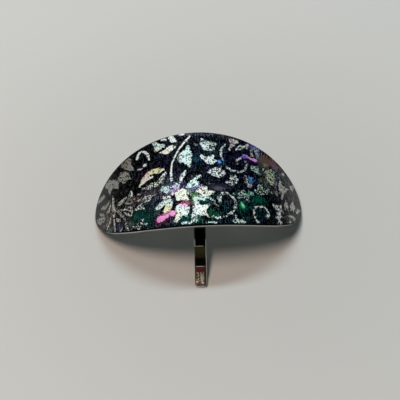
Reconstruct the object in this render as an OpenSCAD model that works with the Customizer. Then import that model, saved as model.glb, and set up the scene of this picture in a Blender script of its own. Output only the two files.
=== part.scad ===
// Ponytail hook clip: an oval metal plate bent to an arch, a printed leather face
// bonded to its outer side, and a metal strip hook fixed under the crown of the arch.
// X runs along the plate, the hook's tip points to -Y, and Z is up from the surface
// that the clip rests on. The origin is the middle of the clip's footprint.

/* [Plate] */
// Length of the oval blank, measured along the printed face before it is bent
plate_l = 85; // [80:1:100]
// Width of the oval blank
plate_w = 40; // [34:1:50]
// Radius of the arch, at the printed face
bend_r = 43.4; // [40:0.1:50]
// Thickness of the metal plate
plate_t = 0.8; // [0.6:0.1:1.2]

/* [Cover] */
// Thickness of the printed leather face
cover_t = 1.0; // [1:0.1:2]

/* [Hook] */
// Width of the strip
hook_w = 4; // [3:0.5:6]
// Thickness of the strip
hook_t = 0.8; // [0.6:0.1:1]
// Length of the flat foot that is fixed under the crown
foot_l = 10; // [6:0.5:14]
// How far the foot reaches behind the middle of the plate
foot_back = 5.5; // [2:0.5:8]
// Clear height of the slot between the foot and the free leg
slot_h = 4.6; // [4.2:0.1:6]
// How far the tip stands out past the plate's near edge
reach = 11.1; // [8:0.1:16]
// Slope of the free leg where it leaves the arch, in degrees
leg_slope = 37; // [30:1:45]
// Turn of the hook on the plate, seen from above, in degrees
hook_turn = -1.5; // [-5:0.5:5]

/* [Hidden] */

// Film of adhesive between two pieces that are bonded together
glue_t = 0.05;
// Corners of the oval outline, and so twice the straight strips that each face is made of
rim_n = 144;
// Half of the angle that the arch spans, in degrees
arch_half = plate_l / 2 / bend_r * 180 / PI;
// Depths of the two metal faces below the printed face
metal_top = cover_t + glue_t;
metal_low = metal_top + plate_t;
// Height of the bend's axis over the surface that the ends of the plate rest on
axis_z = -(bend_r - metal_low) * cos(arch_half);
// Height of the strip's middle in the foot, whose edges come closest to the arch
foot_z = axis_z + sqrt(pow(bend_r - metal_low, 2) - pow(hook_w / 2, 2)) - glue_t - hook_t / 2;
// Mean radius of the loop that joins the foot to the free leg
loop_r = (slot_h + hook_t) / 2;

// The strip, from the front end of the foot to the tip. Each row is a straight run, and then
// the radius and the turn in degrees of the bend that ends it. It starts towards +Y, and a
// positive turn is anticlockwise in the view from +X. The loop takes it back under the foot,
// and the runs before and after the leg's first bend bring the tip down to the surface.
RUN = 0;
RADIUS = 1;
TURN = 2;
function strip(level, steep) = [
    [foot_l, loop_r, -180],
    [level, 5, leg_slope],
    [steep, 4, -5],
    [6.6, 4, -2],
    [3.3, 5, -12],
];
// Straight run of the tip, and the radius of its rounded corners, seen from above
tip_run = 2.3;
tip_r = 1.3;
// Largest step along a bend, and the step round a rolled edge, in degrees
bend_step = 10;
edge_step = 36;

// Places along the middle of the strip from row i on, each with its heading
Y = 0;
Z = 1;
HEADING = 2;
function walk(rows, i, y, z, a) =
    i == len(rows) ? [] :
    let (
        from_y = y + rows[i][RUN] * cos(a),
        from_z = z + rows[i][RUN] * sin(a),
        turn = rows[i][TURN],
        radius = rows[i][RADIUS] * sign(turn),
        steps = ceil(abs(turn) / bend_step),
        arc = [
            for (k = [0:steps])
                let (b = a + turn * k / steps)
                    [from_y + radius * (sin(b) - sin(a)), from_z + radius * (cos(a) - cos(b)), b]
        ],
        next = arc[steps]
    ) concat(arc, walk(rows, i + 1, next[Y], next[Z], next[HEADING]));
function along(rows) = walk(rows, 0, foot_back - foot_l, foot_z, 0);
function last(v) = v[len(v) - 1];

// Where the leg would end with no length in the two free runs, and where the tip has to end
bare = last(along(strip(0, 0)));
tip_z = -hook_t / 2 * cos(bare[HEADING]);
tip_y = -(plate_w / 2 + reach) - hook_t / 2 * sin(bare[HEADING]);
steep_run = (bare[Z] + tip_run * sin(bare[HEADING]) - tip_z) / sin(leg_slope);
level_run = bare[Y] + tip_run * cos(bare[HEADING]) - steep_run * cos(leg_slope) - tip_y;
leg = along(strip(level_run, steep_run));

// Stations of the whole strip: place, heading and half of the width there
HALF_W = 3;
stations = concat(
    [[foot_back - foot_l, foot_z, 0, hook_w / 2]],
    [for (p = leg) [p[Y], p[Z], p[HEADING], hook_w / 2]],
    [
        for (k = [0:15:90])
            let (p = last(leg), run = tip_run - tip_r + tip_r * sin(k), a = p[HEADING])
                [p[Y] + run * cos(a), p[Z] + run * sin(a), a, hook_w / 2 - tip_r + tip_r * cos(k)]
    ]
);

// The footprint's middle lies in front of the plate's middle by half of the reach
centre_y = reach / 2;

// A point of the blank, at u along it and v across it, on the layer at the given depth
function bent(u, v, depth) = [
    (bend_r - depth) * sin(u / bend_r * 180 / PI),
    v,
    (bend_r - depth) * cos(u / bend_r * 180 / PI) + axis_z,
];
function rim(depth) = [
    for (i = [0:rim_n - 1])
        bent(plate_l / 2 * cos(360 * i / rim_n), plate_w / 2 * sin(360 * i / rim_n), depth)
];

// Faces between the rim points at i on the far side and their mirror images on the near side,
// where first is the number of the layer's first point
function across(first, i) = let (j = rim_n - i) [
    first + i, first + i + 1, first + (j - 1) % rim_n, first + j % rim_n,
];
function lid(first) = concat(
    [[first, first + 1, first + rim_n - 1]],
    [for (i = [1:rim_n / 2 - 2]) across(first, i)],
    [[first + rim_n / 2 - 1, first + rim_n / 2, first + rim_n / 2 + 1]]
);
function flip(faces) = [for (f = faces) [for (i = [len(f) - 1:-1:0]) f[i]]];
function wall() = [
    for (i = [0:rim_n - 1])
        let (k = (i + 1) % rim_n)
            each [[i, rim_n + i, rim_n + k], [i, rim_n + k, k]]
];

// One bent oval layer, between two depths below the printed face
module layer(high, low) {
    polyhedron(
        points = concat(rim(high), rim(low)),
        faces = concat(flip(lid(0)), lid(rim_n), flip(wall())),
        convexity = 4
    );
}

// Section of the strip at a station, with rolled edges, starting under the +X edge
function section(p) = [
    for (side = [0, 180], k = [-90:edge_step:90])
        let (
            x = (p[HALF_W] - hook_t / 2) * cos(side) + hook_t / 2 * cos(side + k),
            n = hook_t / 2 * sin(side + k)
        ) [x, p[Y] - n * sin(p[HEADING]), p[Z] + n * cos(p[HEADING])]
];

// The strip, with flat ends
module swept_strip() {
    n = len(section(stations[0]));
    end = n * (len(stations) - 1);
    polyhedron(
        points = [for (p = stations) each section(p)],
        faces = concat(
            [[for (k = [n - 1:-1:0]) k]],
            [[for (k = [0:n - 1]) end + k]],
            [
                for (i = [0:n:end - n], k = [0:n - 1])
                    let (m = (k + 1) % n)
                        each [[i + k, i + m, i + n + m], [i + k, i + n + m, i + n + k]]
            ]
        ),
        convexity = 4
    );
}

module plate() {
    color("gainsboro")
        translate([0, centre_y, 0]) layer(metal_top, metal_low);
}

module cover() {
    color("midnightblue")
        translate([0, centre_y, 0]) layer(0, cover_t);
}

module hook() {
    color("dimgray")
        translate([0, centre_y, 0]) rotate(hook_turn) swept_strip();
}

plate();
cover();
hook();
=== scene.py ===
# Looks of a ponytail hook clip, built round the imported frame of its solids. Lengths are in metres
# in the frame's own axes: X along the clip, the hook's tip towards -Y, and Z up from the surface.
import math

import bpy
import numpy as np
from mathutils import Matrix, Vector


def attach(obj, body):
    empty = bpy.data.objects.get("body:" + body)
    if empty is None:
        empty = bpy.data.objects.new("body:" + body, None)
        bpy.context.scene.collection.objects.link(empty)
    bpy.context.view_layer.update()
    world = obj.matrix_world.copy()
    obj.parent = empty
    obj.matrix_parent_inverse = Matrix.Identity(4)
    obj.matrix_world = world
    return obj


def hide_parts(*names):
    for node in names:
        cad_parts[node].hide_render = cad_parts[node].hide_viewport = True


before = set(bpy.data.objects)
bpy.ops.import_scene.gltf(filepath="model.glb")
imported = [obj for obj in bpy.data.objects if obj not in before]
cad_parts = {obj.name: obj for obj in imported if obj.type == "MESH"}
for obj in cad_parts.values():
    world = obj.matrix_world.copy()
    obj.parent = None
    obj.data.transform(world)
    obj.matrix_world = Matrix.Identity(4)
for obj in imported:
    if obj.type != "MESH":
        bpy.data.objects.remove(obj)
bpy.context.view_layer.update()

# Plate
# The real piece is an oval stamped from thin steel sheet, nickel plated to a satin finish and
# rolled to an arch. It stands on its two ends, with the leather outside and the hook inside.
MM = 0.001
to_mm = 1000
# Points that lie closer than this, in metres, are one.
weld_gap = 1e-7
blank_length = 85 * MM
blank_width = 40 * MM
bend_radius = 43.4 * MM
leather_gauge = 1.0 * MM
glue_film = 0.05 * MM
plate_gauge = 0.8 * MM
# The clip's footprint is centred, so the plate lies back by half of the tip's reach past its edge.
tip_reach = 11.1 * MM
plate_middle_y = tip_reach / 2
under_plate = bend_radius - leather_gauge - glue_film - plate_gauge
bend_axis_z = -under_plate * math.cos(blank_length / 2 / bend_radius)


class Wire:
    """The value of a socket. Arithmetic on it adds Math nodes to the socket's tree."""

    def __init__(self, socket):
        self.socket = socket

    def math(self, operation, *others):
        values = dict(enumerate((self, *others)))
        return node(self.socket.id_data, "ShaderNodeMath", {"operation": operation}, values)

    def at_least(self, other):
        return self.math("MAXIMUM", other)

    def at_most(self, other):
        return self.math("MINIMUM", other)

    def other_output(self, name):
        return Wire(self.socket.node.outputs[name])

    def __add__(self, other):
        return self.math("ADD", other)

    def __sub__(self, other):
        return self.math("SUBTRACT", other)

    def __rsub__(self, other):
        return (self * -1).math("ADD", other)

    def __mul__(self, other):
        return self.math("MULTIPLY", other)

    def __truediv__(self, other):
        return self.math("DIVIDE", other)

    def __gt__(self, other):
        return self.math("GREATER_THAN", other)

    __radd__ = __add__
    __rmul__ = __mul__


def node(tree, kind, settings=None, values=None, output=0):
    """Adds a node, sets it up, feeds its sockets, and returns one of its outputs."""
    made = tree.nodes.new(kind)
    for name, setting in (settings or {}).items():
        setattr(made, name, setting)
    for name, value in (values or {}).items():
        for part in value if isinstance(value, list) else [value]:
            if isinstance(part, Wire):
                tree.links.new(part.socket, made.inputs[name])
            else:
                made.inputs[name].default_value = part
    return Wire(made.outputs[output])


def vector_math(tree, operation, values, output=0):
    """A Vector Math node, whose sockets go by number or by name."""
    return node(tree, "ShaderNodeVectorMath", {"operation": operation}, values, output)


def vector(tree, x=0.0, y=0.0, z=0.0):
    """A vector made of three numbers."""
    return node(tree, "ShaderNodeCombineXYZ", None, {"X": x, "Y": y, "Z": z})


def axes(tree, source):
    """The three numbers that a vector or a colour is made of."""
    x = node(tree, "ShaderNodeSeparateXYZ", None, {"Vector": source})
    return x, x.other_output("Y"), x.other_output("Z")


def keep(tree, geometry, name, kind, value):
    """Stores a value at each point of a geometry under a name, for the material to read."""
    settings = {"data_type": kind, "domain": "POINT"}
    values = {"Geometry": geometry, "Name": name, "Value": value}
    return node(tree, "GeometryNodeStoreNamedAttribute", settings, values)


def kept(tree, name, output="Fac"):
    """The value that a mesh keeps under a name, in its material."""
    return node(tree, "ShaderNodeAttribute", {"attribute_name": name}, output=output)


def geometry_tree(name, sizes):
    """A Geometry Nodes tree with one named input for each size, and those inputs by name."""
    tree = bpy.data.node_groups.new(name, "GeometryNodeTree")
    tree.is_modifier = True
    tree.interface.new_socket("Geometry", in_out="OUTPUT", socket_type="NodeSocketGeometry")
    tree.interface.new_socket("Geometry", in_out="INPUT", socket_type="NodeSocketGeometry")
    for size, value in sizes.items():
        kind = "NodeSocketInt" if isinstance(value, int) else "NodeSocketFloat"
        tree.interface.new_socket(size, in_out="INPUT", socket_type=kind)
    source = tree.nodes.new("NodeGroupInput")
    return tree, {socket.name: Wire(socket) for socket in source.outputs if socket.name}


def welded(tree, geometry):
    """The geometry with its seams closed."""
    values = {"Geometry": geometry, "Distance": weld_gap}
    return node(tree, "GeometryNodeMergeByDistance", None, values)


def finish_tree(tree, geometry, material):
    """Smooths the tree's faces, makes them real, gives them their material and sends them out."""
    smooth = node(tree, "GeometryNodeSetShadeSmooth", None, {"Geometry": geometry})
    real = node(tree, "GeometryNodeRealizeInstances", None, {"Geometry": smooth})
    coated = node(tree, "GeometryNodeSetMaterial", None, {"Geometry": real, "Material": material})
    tree.links.new(coated.socket, tree.nodes.new("NodeGroupOutput").inputs[0])


def added(name, contents):
    """A new object in the scene."""
    thing = bpy.data.objects.new(name, contents)
    bpy.context.scene.collection.objects.link(thing)
    return thing


def made_piece(name, tree, sizes, start=None):
    """Runs a tree with these sizes, and returns what it makes as a plain mesh object."""
    piece = added(name, start or bpy.data.meshes.new(name))
    modifier = piece.modifiers.new(name, "NODES")
    modifier.node_group = tree
    for socket in tree.interface.items_tree:
        if socket.in_out == "INPUT" and socket.name in sizes:
            modifier[socket.identifier] = sizes[socket.name]
    bpy.context.view_layer.update()
    evaluated = piece.evaluated_get(bpy.context.evaluated_depsgraph_get())
    mesh = bpy.data.meshes.new_from_object(evaluated)
    piece.modifiers.remove(modifier)
    piece.data = mesh
    mesh.name = name
    return piece


def unit_grid(tree, columns, rows):
    """A flat grid, and where its points lie along it and across it, from 0 to 1."""
    values = {"Size X": 1.0, "Size Y": 1.0, "Vertices X": columns, "Vertices Y": rows}
    mesh = node(tree, "GeometryNodeMeshGrid", None, values)
    x, y, _ = axes(tree, node(tree, "GeometryNodeInputPosition"))
    return mesh, x + 0.5, y + 0.5


def bent_oval_tree(name, sizes, material):
    """A layer of the arch: an oval of even thickness with soft edges, bent round an axis."""
    tree, size = geometry_tree(name, sizes)
    half_length = size["Length"] / 2
    half_width = size["Width"] / 2

    def outline(share, inset):
        # Share 0 to 1 runs from the left tip to the right one, with the columns set closer in the
        # middle. The outline is the oval's, moved in by the inset at right angles to its edge.
        crowding = (share * math.tau).math("SINE") * size["Crowding"]
        angle = (share + crowding) * math.pi
        cosine = angle.math("COSINE")
        sine = angle.math("SINE")
        far = half_width * cosine
        near = half_length * sine
        reach = (far * far + near * near).math("SQRT")
        u = cosine * (inset * half_width / reach - half_length)
        v = sine * (half_width - inset * half_length / reach)
        return u, v

    def bend(mesh, u, v, depth):
        # Each point keeps its place on the flat blank, in mm, for the pattern to follow.
        blank = vector(tree, u * to_mm, v * to_mm, depth * to_mm)
        flat = keep(tree, mesh, "blank", "FLOAT_VECTOR", blank)
        radius = size["Bend radius"] - depth
        angle = u / size["Bend radius"]
        x = radius * angle.math("SINE")
        z = radius * angle.math("COSINE") + size["Axis height"]
        place = vector(tree, x, v + size["Middle Y"], z)
        return node(tree, "GeometryNodeSetPosition", None, {"Geometry": flat, "Position": place})

    def face(rows, depth):
        mesh, share, across = unit_grid(tree, size["Columns"] + 1, rows)
        u, v = outline(share, size["Edge radius"])
        return bend(mesh, u, v * (across * 2 - 1), depth)

    rim_rows = size["Edge steps"] * 2
    mesh, round_share, row_share = unit_grid(tree, size["Columns"] * 2 + 1, rim_rows)
    lap = round_share * 2
    side = 1 - (lap > 1.0) * 2
    row = (row_share * (rim_rows - 1)).math("ROUND")
    steps = size["Edge steps"] - 1
    turned = (row.at_most(steps) + (row - steps - 1).at_least(0.0)) / steps
    turn = turned * (math.pi / 2)
    low_half = row > steps + 0.5
    inset = size["Edge radius"] * (1 - turn.math("SINE"))
    wall = (size["Thickness"] - size["Edge radius"] * 2) * low_half
    depth = size["Top depth"] + size["Edge radius"] * (1 - turn.math("COSINE")) + wall
    u, v = outline(lap.math("PINGPONG", 1.0), inset)
    rim = bend(mesh, u, v * side, depth)
    top = face(size["Rows"] + 1, size["Top depth"])
    under = face(2, size["Top depth"] + size["Thickness"])
    turned_over = node(tree, "GeometryNodeFlipFaces", None, {"Mesh": under})
    joined = node(tree, "GeometryNodeJoinGeometry", None, {"Geometry": [top, turned_over, rim]})
    finish_tree(tree, welded(tree, joined), material)
    return tree


def paint(red, green, blue):
    """A colour named by its three screen values from 0 to 255, as the shaders take it."""
    screen = [x / 255 for x in (red, green, blue)]
    light = [x / 12.92 if x <= 0.04045 else ((x + 0.055) / 1.055) ** 2.4 for x in screen]
    return (*light, 1.0)


def shader(name):
    """A material with an empty Principled BSDF, which is returned with it."""
    material = bpy.data.materials.new(name)
    material.use_nodes = True
    return material, material.node_tree, material.node_tree.nodes["Principled BSDF"]


def noise(tree, place, scale, detail=2.0, roughness=0.5):
    """Even noise, with the given number of waves in a unit of the place."""
    values = {"Vector": place, "Scale": scale, "Detail": detail, "Roughness": roughness}
    return node(tree, "ShaderNodeTexNoise", {"noise_dimensions": "3D"}, values, "Fac")


def stretched(tree, place, stretch):
    """A place with its three axes scaled."""
    return vector_math(tree, "MULTIPLY", {0: place, 1: stretch})


def ramp(tree, value, low, high):
    """0 below low, 1 above high, and smooth between them."""
    values = {"Value": value, "From Min": low, "From Max": high}
    return node(tree, "ShaderNodeMapRange", {"interpolation_type": "SMOOTHSTEP"}, values)


def blend(tree, share, first, second):
    """Two colours mixed by a share. Sockets 6 and 7 take the colours, and output 2 gives one."""
    values = {"Factor": share, 6: first, 7: second}
    return node(tree, "ShaderNodeMix", {"data_type": "RGBA"}, values, 2)


def bump(tree, height, distance, strength):
    """The surface's lean where the height changes. Height 1 stands the distance in metres proud."""
    values = {"Height": height, "Distance": distance, "Strength": strength}
    return node(tree, "ShaderNodeBump", None, values)


def feed(surface, values):
    """Links or sets the sockets of a surface or a background."""
    for name, value in values.items():
        if isinstance(value, Wire):
            surface.id_data.links.new(value.socket, surface.inputs[name])
        else:
            surface.inputs[name].default_value = value


satin_steel, tree, surface = shader("satin_steel")
blank = kept(tree, "blank", "Vector")
rolling_lines = noise(tree, stretched(tree, blank, (0.25, 7.0, 1.0)), 1.0, 3.0)
smears = noise(tree, blank, 0.12, 3.0)
pits = ramp(tree, noise(tree, blank, 2.6, 2.0), 0.64, 0.72)
_, _, depth = axes(tree, blank)
# The stamped edge is darker in its lower part.
darker_lower_edge = ramp(tree, depth, 1.3, 1.5) * (1 - ramp(tree, depth, 1.78, 1.83))
steel = blend(tree, rolling_lines, paint(202, 206, 208), paint(230, 232, 233))
steel = blend(tree, darker_lower_edge * 0.9, steel, paint(112, 114, 112))
feed(
    surface,
    {
        "Base Color": blend(tree, pits * 0.5, steel, paint(120, 118, 114)),
        "Metallic": 1.0,
        "Roughness": 0.26 + smears * 0.16 + pits * 0.1,
        "Normal": bump(tree, rolling_lines + pits * -0.5, 0.00002, 0.35),
    },
)

plate_sizes = {
    "Length": blank_length,
    "Width": blank_width,
    "Bend radius": bend_radius,
    "Axis height": bend_axis_z,
    "Middle Y": plate_middle_y,
    "Top depth": leather_gauge + glue_film,
    "Thickness": plate_gauge,
    "Edge radius": 0.18 * MM,
    "Crowding": 0.0,
    "Columns": 240,
    "Rows": 1,
    "Edge steps": 5,
}
tree = bent_oval_tree("bent_plate", plate_sizes, satin_steel)
plate = made_piece("bent_plate", tree, plate_sizes)
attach(plate, "root")
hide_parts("plate")

# Leather face
# The real piece is an oval cut from thin split leather, glued over the plate. Its grain is dyed
# almost black, and a sprigged foil with a rainbow lustre is hot pressed on it, worn and speckled.
CREAM = (255, 250, 232)
MINT = (230, 252, 246)
SILVER = (244, 248, 246)
PEWTER = (160, 160, 155)
ASH = (205, 204, 199)
# Pink, lilac and sky blue foil are painted glints: the rainbow flashes of the lustre, where the
# lights catch it.
PINK = (255, 148, 218)
LILAC = (238, 200, 255)
SKY = (88, 158, 244)
LIME = (212, 226, 196)
ROSE = (240, 224, 216)
# Leaves and petals of the print: foil, wear from 0 to 1, and the outline in mm on the flat blank,
# u along it and v across it.
leaves = [
    # Sprays of leaves at the left end, in greyer foil
    (PEWTER, 0.14, [
        (-28, 14.5), (-26.5, 15.2), (-24.5, 15.2), (-23.7, 14.3), (-24, 13.3), (-23.8, 12),
        (-23.3, 10.7), (-22.7, 9.7), (-23, 9), (-24, 9.3), (-25, 10), (-26, 10.7), (-27, 11.7),
        (-28, 12.8), (-28.3, 13.7),
    ]),
    (PEWTER, 0.27, [
        (-29.3, 11.3), (-28.3, 10.7), (-27, 10.2), (-25.8, 10), (-25.6, 9.2), (-24.8, 8.5),
        (-24.7, 7.3), (-24.3, 6.5), (-23.7, 5.3), (-25, 5.8), (-25.8, 5.7), (-26.5, 5),
        (-27.3, 5.3), (-28.3, 6.3), (-29.3, 7.2), (-30, 8.3), (-30.2, 9.5), (-29.3, 9.2),
        (-28.8, 9.2), (-29, 10.2),
    ]),
    (PEWTER, 0.14, [
        (-35.8, 10), (-34.7, 10.7), (-33.5, 10.7), (-32.8, 9.7), (-31.8, 9.7), (-31.2, 9),
        (-30.5, 8.5), (-29.8, 7.7), (-29.3, 6.7), (-29.3, 5.5), (-29.4, 4.2), (-29.8, 4.2),
        (-30.8, 5), (-31.8, 5.8), (-32.5, 5.8), (-33, 5), (-33.8, 4.2), (-34.2, 5.3), (-34.7, 7),
        (-35.8, 7.8), (-36.2, 8.8),
    ]),
    (PEWTER, 0.14, [
        (-41, 5.2), (-40, 5.8), (-37.8, 6), (-36, 5.8), (-36, 5), (-36.7, 4.2), (-38.3, 3.8),
        (-40, 4), (-40.8, 4.5),
    ]),
    (PEWTER, 0.14, [
        (-38.5, 0.7), (-37.5, 1.2), (-35.2, 0.8), (-34, 1.5), (-33.8, 0.5), (-34.5, -0.3),
        (-35.8, -1.3), (-37, -0.7), (-38.2, 0),
    ]),
    (PEWTER, 0.14, [
        (-39.5, -0.7), (-38.2, -1.5), (-36.8, -2.5), (-36.7, -3.7), (-37.3, -3.7), (-38.3, -2.8),
        (-39.2, -2),
    ]),
    (PEWTER, 0.14, [
        (-41.3, -2.5), (-39.6, -2.6), (-38, -3.6), (-36.4, -4.4), (-36.1, -5.4), (-37.2, -6.4),
        (-38.6, -6.2), (-40, -5), (-41, -3.8),
    ]),
    (ASH, 0.34, [
        (-33.3, -0.5), (-33, -1.6), (-33.7, -3.1), (-34.3, -4.4), (-35, -4.5), (-35.4, -3.7),
        (-35, -2.5), (-34.2, -1.4),
    ]),
    (ASH, 0.2, [
        (-30.5, -8.3), (-29.3, -8.9), (-28.7, -9.9), (-29, -10.6), (-29.8, -10.3), (-30.5, -9.4),
    ]),
    (ASH, 0.36, [
        (-30.3, -2.3), (-29.9, -2), (-28.3, -1.7), (-26.9, -1.5), (-25.9, -1.1), (-26.1, -2.2),
        (-27.4, -2.9), (-28.6, -3.7), (-29.6, -3.4),
    ]),
    (PEWTER, 0.62, [(-25.6, -2.4), (-24.6, -1), (-24.1, -2.8), (-23.8, -4.6), (-25.6, -4.2)]),
    (ROSE, 0.62, [
        (-23.2, -3.5), (-21.1, -2.5), (-20.4, -2.6), (-19.8, -4.4), (-21, -5.3), (-22.6, -5),
    ]),
    (ASH, 0.5, [
        (-25.9, -6.6), (-24.9, -6.2), (-23.8, -6.9), (-23.6, -8.6), (-23.8, -10.4), (-24.6, -10.3),
        (-25.8, -9.2), (-27, -7.6), (-26.6, -7.2),
    ]),
    (SILVER, 0.58, [
        (-22.9, -8.4), (-21.5, -7.7), (-20.2, -7.3), (-18.5, -6.7), (-17.4, -6.2), (-17.3, -7.2),
        (-19, -8), (-19.2, -9.4), (-20.3, -9.1), (-21.5, -8.9),
    ]),
    (SILVER, 0.54, [
        (-20.6, -4.4), (-18.5, -4.5), (-16.8, -4.8), (-15, -5.2), (-16.9, -6), (-18.3, -6.6),
        (-19.2, -5.8),
    ]),
    (SILVER, 0.5, [
        (-23.8, -15), (-22.8, -14.8), (-21.5, -14.8), (-20.6, -13.8), (-19.4, -13.3),
        (-19.5, -14.4), (-19.9, -15.6), (-20.3, -16.8), (-21, -17.5), (-22, -17.2), (-22.6, -16.2),
    ]),
    # Far side, left of the middle
    (MINT, 0.24, [
        (-15.6, 18.1), (-14, 18.4), (-13.1, 17.4), (-12.1, 16.6), (-11.1, 16.6), (-10.6, 15.6),
        (-11, 14.9), (-12, 14.6), (-12.4, 14.1), (-13.1, 14), (-14, 13.7), (-14.9, 14.1),
        (-14.6, 15), (-14.7, 16), (-14.9, 16.9),
    ]),
    (CREAM, 0.1, [
        (-12.9, 13), (-11.7, 13.4), (-10.6, 14), (-9.6, 15), (-8.3, 15.3), (-7, 14.7), (-7.1, 14),
        (-8, 13.1), (-8.6, 12.3), (-9.4, 12), (-10.3, 11.6), (-11.4, 11.9), (-12.3, 12.3),
    ]),
    (SILVER, 0.1, [
        (-9.7, 18.9), (-8.8, 19.6), (-7.5, 19.2), (-7, 17.9), (-6.6, 16.6), (-6.9, 16.1),
        (-7.7, 16.3), (-8.6, 16.4), (-8.9, 17.4),
    ]),
    (SILVER, 0.18, [(-12, 18.9), (-10.2, 19.2), (-10, 17.7), (-11, 17.9), (-12, 18.3)]),
    (MINT, 0.2, [
        (-2.8, 14.6), (-2.4, 14.3), (-2.2, 13), (-2.1, 12), (-1.7, 10.9), (-1.6, 9.4), (-1.9, 7.9),
        (-2, 6.3), (-2.4, 4.9), (-2.7, 4.1), (-3.1, 4.7), (-4, 5.6), (-4.5, 6.1), (-4.9, 6.9),
        (-5.6, 6.4), (-6, 7.1), (-6.1, 8.6), (-6, 10), (-5.4, 11.1), (-4.6, 12), (-3.9, 12),
        (-3.6, 12.9), (-3.3, 14),
    ]),
    # The bud and the leaves round it
    (CREAM, 0.13, [
        (-19.4, 4), (-18.3, 4.9), (-17.3, 5.6), (-16.3, 6.1), (-15.1, 6.4), (-14, 6.3),
        (-13.1, 5.9), (-12.3, 5.7), (-11.4, 5.1), (-11.4, 4.6), (-12.1, 4.3), (-13.1, 3.9),
        (-14, 3.9), (-15.1, 4.3), (-16.3, 4.4), (-17, 3.9), (-17.8, 3.4), (-18.6, 3.2),
    ]),
    (CREAM, 0.12, [
        (-19.4, 4), (-20.3, 2.3), (-21.1, 0.8), (-21, 0.2), (-19.9, 0.9), (-18.5, 1.5), (-17, 2.2),
        (-15.8, 2.6), (-15.3, 3.1), (-16, 3.5), (-17, 3.9), (-18.2, 4.2),
    ]),
    (SILVER, 0.32, [
        (-10.7, 3.6), (-11.2, 3.9), (-12.3, 2.8), (-13.5, 1.2), (-14.4, -0.4), (-14.6, -1.6),
        (-13.6, -1.5), (-12.6, -0.1), (-11.5, 1.5), (-10.8, 2.7),
    ]),
    (SILVER, 0.52, [
        (-20, -0.7), (-18.5, -0.2), (-17, 0.3), (-14.3, 0.5), (-12.7, 1), (-12.6, 0.1),
        (-13.9, -1.4), (-15.7, -2.3), (-17.5, -2), (-19.3, -1.1),
    ]),
    (SILVER, 0.16, [
        (-4.2, 3.3), (-3.9, 2.4), (-4.6, 0.5), (-5.4, -1.2), (-6.3, -2.2), (-6.6, -1.4),
        (-6.2, 0.4), (-5.3, 2.3),
    ]),
    (MINT, 0.24, [
        (0.8, 0.7), (-0.3, 0.3), (-1.6, -0.8), (-2.6, -1.6), (-3.4, -2.7), (-4.3, -3.2),
        (-4.5, -4.3), (-3.9, -4.8), (-2.5, -4.8), (-1.1, -4.1), (0.1, -3.6), (0.7, -2.9), (0, -2.3),
        (-0.9, -2), (-0.1, -1.1), (0.9, 0),
    ]),
    # The large flower left of the middle
    (MINT, 0.28, [
        (-13.1, -2.7), (-12, -2.1), (-10.9, -2.1), (-10, -3.3), (-9.1, -3.1), (-8.3, -2.1),
        (-7.1, -1.9), (-6.4, -2.7), (-6.6, -3.9), (-7.4, -4.7), (-8.3, -5), (-9.1, -5.3),
        (-9.7, -4.4), (-10.1, -4.9), (-10.6, -5.6), (-11.4, -5.4), (-12.1, -4.7), (-12.9, -4.4),
        (-13.1, -3.4),
    ]),
    (CREAM, 0.15, [
        (-8, -6), (-7.6, -5.1), (-6.3, -4.7), (-5.4, -4.6), (-4.7, -5.1), (-3.9, -5.9),
        (-3.6, -6.7), (-3.9, -7.6), (-3.7, -8.7), (-3.9, -9.6), (-4.3, -10.1), (-5.1, -9.7),
        (-6, -9.4), (-7, -9.7), (-7.7, -9.6), (-8, -8.7), (-7.9, -7.7), (-8.3, -7), (-9.1, -7),
        (-9.6, -6.4), (-9.1, -5.7), (-8.4, -6),
    ]),
    (MINT, 0.25, [
        (-15.7, -11.6), (-15.3, -10.7), (-14, -9.6), (-12.9, -8.6), (-11.7, -8.3), (-10.9, -8.4),
        (-9.7, -8), (-9.1, -8.7), (-9, -9.9), (-9.4, -10.1), (-11, -9.9), (-11.9, -10.5),
        (-12.9, -11.3), (-13.4, -11.6), (-14.3, -11.7), (-15.1, -11.7),
    ]),
    (CREAM, 0.1, [
        (-9.1, -10.2), (-9.2, -11.3), (-9.6, -12.1), (-10.3, -13.3), (-11.4, -13.7), (-12.3, -13.6),
        (-12.6, -13), (-12, -11.9), (-11.7, -10.9), (-11, -9.9),
    ]),
    (ROSE, 0.1, [(-12.1, -6.4), (-11.1, -7.1), (-11.1, -8), (-12, -7.9), (-12.6, -7.1)]),
    (MINT, 0.3, [(-10.9, -6.7), (-9.6, -7), (-9.4, -7.9), (-10.3, -8.1), (-11, -7.9)]),
    (PINK, 0, [
        (-14.4, -14.7), (-13.6, -14.3), (-12.7, -14.6), (-11.1, -14.7), (-10.6, -15.3),
        (-10.7, -15.9), (-12, -16), (-12.1, -16.7), (-13.4, -16.9), (-14.6, -16.9), (-14.9, -16),
    ]),
    (PINK, 0.2, [(-11.9, -14.9), (-11.2, -14.1), (-10.4, -13.9), (-10, -15), (-10.8, -15.6)]),
    (PINK, 0, [
        (-11.2, -14.6), (-10.4, -13.7), (-9.4, -13.1), (-8.6, -13.6), (-8.4, -14.4), (-8.7, -15.3),
        (-9.7, -15.6), (-10.3, -14.7),
    ]),
    (SILVER, 0.15, [
        (-8.3, -12.4), (-7.7, -11.6), (-6.9, -10.9), (-6, -11), (-5.1, -10.9), (-4.3, -11.6),
        (-3.9, -12.4), (-3.7, -13.4), (-3.9, -14.6), (-4.3, -15.7), (-4.7, -16.7), (-5.1, -16.6),
        (-5.6, -16), (-6, -15.9), (-6.4, -16.4), (-7, -17.3), (-7.9, -18.3), (-8.6, -18.4),
        (-8.9, -17.9), (-8.4, -16.4), (-8.3, -15.3), (-8.1, -13.9),
    ]),
    (CREAM, 0.2, [
        (-1.1, -6), (-0.6, -5.3), (0.4, -4.9), (1.6, -4.4), (2.7, -4.4), (2.9, -5.1), (2.3, -5.7),
        (3.1, -6.1), (4, -6), (4.9, -6.4), (5.3, -6.7), (5, -7.3), (4.3, -7.9), (3.3, -8.3),
        (2.4, -8.7), (1, -8.6), (0.1, -7.9), (-0.3, -7), (-1, -6.6),
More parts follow.
